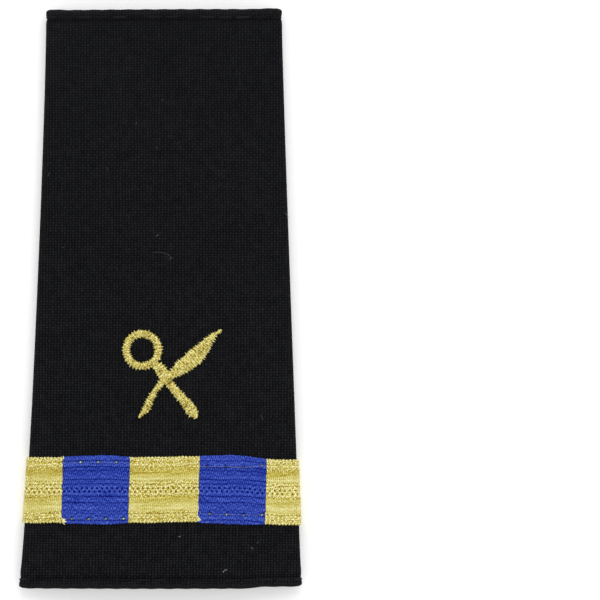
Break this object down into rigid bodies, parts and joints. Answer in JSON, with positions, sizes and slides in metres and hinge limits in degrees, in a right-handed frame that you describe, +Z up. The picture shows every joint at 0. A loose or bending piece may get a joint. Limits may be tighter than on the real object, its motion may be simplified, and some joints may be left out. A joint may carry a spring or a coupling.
{
  "type": "rank slide",
  "caption": "Flared black cloth tube that slips over a shoulder strap, with a gold lace stripe broken by blue and an embroidered crossed magnifying glass and quill.",
  "frame": {"origin": "under the middle of the tube, on the surface that it rests on", "axes": "+X across to the right of the front, +Y along the tube to its narrow mouth, +Z up through the front face"},
  "size_m": [0.0544, 0.1116, 0.0075],
  "materials": {
    "black_cloth": "plain weave, matt",
    "gold_lace": "ribbed metallic weave",
    "blue_lace": "ribbed silky weave",
    "gold_thread": "satin stitch, lustrous"
  },
  "bodies": {
    "root": {"sleeve": "black_cloth", "lace_gold_left": "gold_lace", "lace_blue_left": "blue_lace", "lace_gold_middle": "gold_lace", "lace_blue_right": "blue_lace", "lace_gold_right": "gold_lace", "glass_rim": "gold_thread", "glass_handle": "gold_thread", "quill_feather": "gold_thread", "quill_stem": "gold_thread"}
  },
  "joints": []
}
